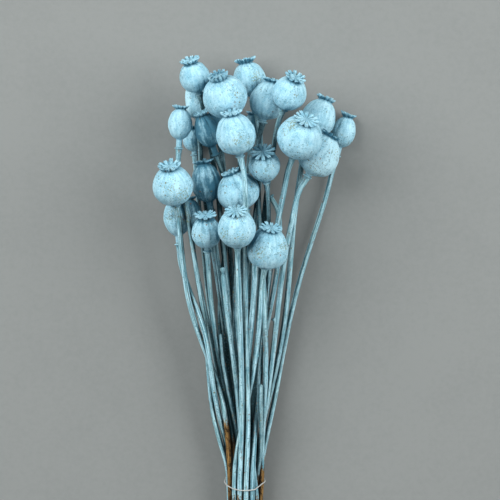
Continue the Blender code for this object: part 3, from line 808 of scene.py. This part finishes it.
def fleck_group():
    """Ragged flecks in loose crowds: about Amount of the cells hold one, each with its own number.

    More adds to that share wherever it is above 0.
    """
    nodes, given, out = new_group(
        "flecks",
        (
            ("Place", "vector", None),
            ("Cells", "value", 0.4),
            ("Size", "value", 0.3),
            ("Amount", "value", 0.2),
            ("More", "value", 0.0),
        ),
        (("Mask", "value"), ("Kind", "value")),
    )
    wobble = nodes.cloud(given["Place"], nodes.times(given["Cells"], 2.4), 2.0)["Color"]
    centred = nodes.add("ShaderNodeVectorMath", {0: wobble, 1: (0.5, 0.5, 0.5)}, operation="SUBTRACT")
    pushed = nodes.add("ShaderNodeVectorMath", {0: centred.outputs[0]}, operation="SCALE")
    nodes.join(nodes.math("DIVIDE", 1.3, given["Cells"]), pushed.inputs["Scale"])
    where = nodes.add("ShaderNodeVectorMath", {0: given["Place"], 1: pushed.outputs[0]}, operation="ADD")
    inputs = {"Vector": where.outputs[0], "Scale": given["Cells"], "Randomness": 1.0}
    cells = nodes.add("ShaderNodeTexVoronoi", inputs)
    split = nodes.add("ShaderNodeSeparateColor", {"Color": cells.outputs["Color"]})
    crowd = nodes.cloud(given["Place"], 0.07, 3.0)[0]
    share = nodes.times(given["Amount"], nodes.band(crowd, 0.44, 0.60, 0.08, 2.6))
    chosen = nodes.math("LESS_THAN", split.outputs[0], nodes.plus(share, given["More"]))
    small = nodes.times(given["Size"], nodes.band(split.outputs[1], 0.0, 1.0, 0.40, 1.0))
    close = nodes.math("SUBTRACT", small, cells.outputs["Distance"])
    spot = nodes.band(close, -0.03, 0.07)
    nodes.join(nodes.times(chosen, spot), out["Mask"])
    nodes.join(split.outputs[2], out["Kind"])
    return nodes.tree


def new_material(name):
    made = bpy.data.materials.new(name)
    made.use_nodes = True
    made.node_tree.nodes.clear()
    nodes = Nodes(made.node_tree)
    shader = nodes.add("ShaderNodeBsdfPrincipled")
    last = nodes.add("ShaderNodeOutputMaterial", {"Surface": shader.outputs[0]})
    last.is_active_output = True
    return made, nodes, shader


def millimetres(nodes):
    where = nodes.add("ShaderNodeTexCoord").outputs["Object"]
    scaled = nodes.add("ShaderNodeVectorMath", {0: where, "Scale": 1 / MM}, operation="SCALE")
    return scaled.outputs[0]


def placed(nodes, group, inputs):
    return nodes.add("ShaderNodeGroup", inputs, node_tree=group).outputs


def painted_poppy(mottle, flecks):
    """Chalky light blue paint over dry plant with painted shade and light, flecked, worn, and missing low on
    stems.
    """
    made, nodes, shader = new_material("painted_poppy")
    here = millimetres(nodes)
    fibre = nodes.attribute("fibre", vector=True)
    hollow, worn = nodes.attribute("hollow"), nodes.attribute("worn")
    bare, stalk = nodes.attribute("bare"), nodes.attribute("stalk")

    # chalky paint on the heads
    inputs = {"Place": here, "Patch": 0.11, "Grain": 0.9}
    inputs |= {"Low": rgb(0.225, 0.53, 0.69), "High": rgb(0.465, 0.775, 0.90)}
    chalk = placed(nodes, mottle, inputs)

    # streaky paint on the stems, thinner in places, with dark cracks along it
    long = nodes.stretch(fibre, (1.0, 1.0, 0.045))
    streak = nodes.cloud(long, 0.95, 4.0, 0.66)[0]
    streaks = nodes.band(streak, 0.40, 0.57)
    stem_paint = nodes.mix(streaks, rgb(0.11, 0.32, 0.40), rgb(0.55, 0.86, 0.95))
    thin_paint = nodes.mix(streaks, rgb(0.16, 0.31, 0.31), rgb(0.45, 0.69, 0.66))
    thin = nodes.band(nodes.cloud(long, 0.35, 2.0)[0], 0.48, 0.64, 0.0, 0.5)
    stem_paint = nodes.mix(thin, stem_paint, thin_paint)
    cracks = nodes.band(nodes.cloud(long, 2.1, 2.0)[0], 0.36, 0.42, 0.7, 0.0)
    stem_paint = nodes.mix(cracks, stem_paint, rgb(0.05, 0.14, 0.17))
    stem_share = nodes.times(stalk, nodes.band(streak, 0.3, 0.7, 0.95, 0.8))
    colour = nodes.mix(stem_share, chalk["Colour"], stem_paint)

    # veins up the capsules
    vein = nodes.cloud(nodes.stretch(fibre, (1.0, 1.0, 0.30)), 0.26, 5.0, 0.66)[0]
    on_head = nodes.math("SUBTRACT", 1.0, stalk, clamp=True)
    veins = nodes.times(nodes.band(vein, 0.36, 0.54, 0.34, 0.0), on_head)
    colour = nodes.mix(veins, colour, rgb(0.17, 0.40, 0.50))

    # painted shade in creases and hollows
    crease_shade_mix = nodes.times(hollow, 0.86)
    crease_shade_colour = nodes.mix(nodes.band(hollow, 0.55, 0.95), rgb(0.075, 0.23, 0.31), rgb(0.03, 0.10, 0.12))
    colour = nodes.mix(crease_shade_mix, colour, crease_shade_colour)

    # painted shade where the rest of the bunch hems the skin in, deeper on stems and varied by the mottle and
    # the veins, and painted light, a paler colour, where that falls below 0
    deep = nodes.mix(stalk, rgb(0.045, 0.17, 0.25), rgb(0.010, 0.038, 0.048))
    shade = nodes.plus(nodes.attribute("shelter"), nodes.times(stalk, 0.20))
    shade = nodes.plus(shade, nodes.band(chalk["Height"], 0.3, 0.7, 0.14, -0.14))
    shade = nodes.plus(shade, nodes.times(nodes.band(vein, 0.35, 0.65, 0.16, -0.16), on_head))
    painted_shade = nodes.band(shade, 0.32, 0.72, 0.0, 0.96)
    # painted light: paler where the shade value falls below 0
    colour = nodes.mix(nodes.band(shade, -0.25, 0.0, 0.7, 0.0), colour, rgb(0.58, 0.89, 0.99))
    colour = nodes.mix(painted_shade, colour, deep)

    # small pits, brown specks and, on stems, chips
    pits = placed(nodes, flecks, {"Place": here, "Cells": 0.70, "Size": 0.44, "Amount": 0.34})
    colour = nodes.mix(nodes.times(pits["Mask"], 0.7), colour, rgb(0.09, 0.26, 0.33))
    inputs = {"Place": here, "Cells": 0.50, "Size": 0.42, "Amount": 0.05, "More": nodes.times(worn, 0.50)}
    specks = placed(nodes, flecks, inputs)
    reddish = nodes.math("GREATER_THAN", specks["Kind"], 0.80)
    ochre = nodes.mix(reddish, rgb(0.17, 0.18, 0.09), rgb(0.22, 0.11, 0.07))
    colour = nodes.mix(nodes.times(specks["Mask"], 0.85), colour, ochre)
    slim = nodes.stretch(fibre, (1.0, 1.0, 0.25))
    chips = placed(nodes, flecks, {"Place": slim, "Cells": 0.70, "Size": 0.36, "Amount": 0.14})
    chipped = nodes.times(nodes.times(chips["Mask"], stalk), 0.8)
    colour = nodes.mix(chipped, colour, rgb(0.27, 0.19, 0.14))

    # rubbed patches, down to the dark husk where they are worst
    rough = nodes.cloud(here, 0.75, 5.0, 0.68)[0]
    rubbed = nodes.plus(nodes.times(nodes.math("MINIMUM", worn, 0.75), 0.20), rough)
    rubbed = nodes.band(rubbed, 0.66, 0.72)
    husk = nodes.mix(nodes.band(worn, 0.9, 1.2), rgb(0.25, 0.31, 0.18), rgb(0.07, 0.05, 0.025))
    colour = nodes.mix(nodes.times(rubbed, 0.8), colour, husk)

    # bare bark below the ragged end of the paint
    edge = nodes.plus(bare, nodes.band(streak, 0.3, 0.7, -0.9, 0.9))
    edge = nodes.plus(edge, nodes.band(rough, 0.3, 0.7, -0.35, 0.35))
    missing = nodes.band(edge, -0.02, 0.12)
    bark = nodes.mix(streaks, rgb(0.15, 0.08, 0.025), rgb(0.34, 0.20, 0.065))
    black = nodes.cloud(slim, 0.55, 4.0, 0.75)[0]
    bark = nodes.mix(nodes.band(black, 0.50, 0.53, 0.0, 0.95), bark, BARK_BLACK_AND_SHADE)
    # painted shade: the bare bark blackens where the rest of the bunch hems it in
    bark = nodes.mix(nodes.band(shade, 0.30, 0.70, 0.0, 0.85), bark, BARK_BLACK_AND_SHADE)
    colour = nodes.mix(missing, colour, bark)
    nodes.join(colour, shader.inputs["Base Color"])

    nodes.join(nodes.band(chalk["Height"], 0.3, 0.7, 0.95, 0.78), shader.inputs["Roughness"])
    height = nodes.times(chalk["Height"], 3.0)
    height = nodes.plus(height, nodes.times(nodes.times(vein, on_head), 5.5))
    height = nodes.math("SUBTRACT", height, nodes.times(pits["Mask"], 0.9))
    height = nodes.math("SUBTRACT", height, nodes.times(rubbed, 0.35))
    height = nodes.plus(height, nodes.times(nodes.times(streak, stalk), 3.0))
    height = nodes.math("SUBTRACT", height, nodes.times(missing, 0.4))
    bump = nodes.add("ShaderNodeBump", {"Height": height, "Strength": 0.8, "Distance": 0.0003})
    nodes.join(bump.outputs[0], shader.inputs["Normal"])
    shader.inputs["Specular IOR Level"].default_value = 0.25
    return made


def elastic_thread(mottle):
    """Thin pale elastic, a little glossy, with a faint twist along it."""
    made, nodes, shader = new_material("elastic")
    fibre = nodes.attribute("fibre", vector=True)
    inputs = {"Place": fibre, "Patch": 0.5, "Grain": 3.0}
    inputs |= {"Low": rgb(0.36, 0.38, 0.37), "High": rgb(0.56, 0.57, 0.54)}
    tone = placed(nodes, mottle, inputs)
    nodes.join(tone["Colour"], shader.inputs["Base Color"])
    nodes.join(nodes.band(tone["Height"], 0.3, 0.7, 0.62, 0.42), shader.inputs["Roughness"])
    inputs = {"Vector": fibre, "Scale": 0.9, "Distortion": 1.5}
    twist = nodes.add("ShaderNodeTexWave", inputs, bands_direction="Z")
    bump = nodes.add("ShaderNodeBump", {"Height": twist.outputs["Fac"], "Strength": 0.5, "Distance": 0.0001})
    nodes.join(bump.outputs[0], shader.inputs["Normal"])
    return made


def pale_floor(mottle):
    made, nodes, shader = new_material("pale_floor")
    inputs = {"Place": millimetres(nodes), "Patch": 0.01, "Grain": 0.2}
    inputs |= {"Low": rgb(0.225, 0.240, 0.235), "High": rgb(0.242, 0.257, 0.251)}
    tone = placed(nodes, mottle, inputs)
    nodes.join(tone["Colour"], shader.inputs["Base Color"])
    shader.inputs["Roughness"].default_value = 0.95
    shader.inputs["Specular IOR Level"].default_value = 0.1
    return made


FLOOR_HALF = 6.0


def make_floor(finish):
    bm = bmesh.new()
    bmesh.ops.create_grid(bm, x_segments=2, y_segments=2, size=FLOOR_HALF)
    floor = finish_piece(bm, "floor", finish)


def add_light(name, place, aim, size, power, colour):
    data = bpy.data.lights.new(name, "AREA")
    data.shape, data.size, data.energy, data.color = "DISK", size, power, colour
    lamp = bpy.data.objects.new(name, data)
    lamp.location = place
    lamp.rotation_euler = (Vector(aim) - Vector(place)).to_track_quat("-Z", "Y").to_euler()
    bpy.context.scene.collection.objects.link(lamp)


CAMERA_AT = (-0.00522, 0.06786, 2.3)  # straight above the middle of the picture
PICTURE_HEIGHT = 0.05  # the height over the table at which the picture is PICTURE_ACROSS wide
PICTURE_ACROSS = 0.425
SENSOR = 36.0


def light_and_camera():
    middle = (0.0, 0.08, 0.04)
    add_light("left", (-1.25, 0.85, 1.45), middle, 1.9, 49.0, WHITE)
    add_light("right", (1.50, 0.55, 1.25), middle, 1.9, 40.0, WHITE)
    add_light("front", (-0.2, 0.5, 2.6), middle, 1.2, 5.0, WHITE)
    world = bpy.data.worlds.new("soft_sky")
    world.use_nodes = True
    world.node_tree.nodes["Background"].inputs["Color"].default_value = rgb(0.93, 0.97, 1.0)
    world.node_tree.nodes["Background"].inputs["Strength"].default_value = 0.14
    bpy.context.scene.world = world
    bpy.context.scene.view_settings.view_transform = "Standard"
    data = bpy.data.cameras.new("camera")
    data.sensor_fit, data.sensor_width = "HORIZONTAL", SENSOR
    data.lens = SENSOR * (CAMERA_AT[2] - PICTURE_HEIGHT) / PICTURE_ACROSS
    camera = bpy.data.objects.new("camera", data)
    camera.location = CAMERA_AT
    bpy.context.scene.collection.objects.link(camera)
    bpy.context.scene.camera = camera


def main():
    mottle, flecks = mottle_group(), fleck_group()
    paint = painted_poppy(mottle, flecks)
    bunch = whole_bunch()
    stems = [make_poppy(number, paint, bunch) for number in range(1, POPPY_COUNT + 1)]
    stems += [make_bare_stem(number, paint, bunch) for number in range(1, BARE_COUNT + 1)]
    make_tie(stems, elastic_thread(mottle), bunch)
    make_floor(pale_floor(mottle))
    light_and_camera()


main()
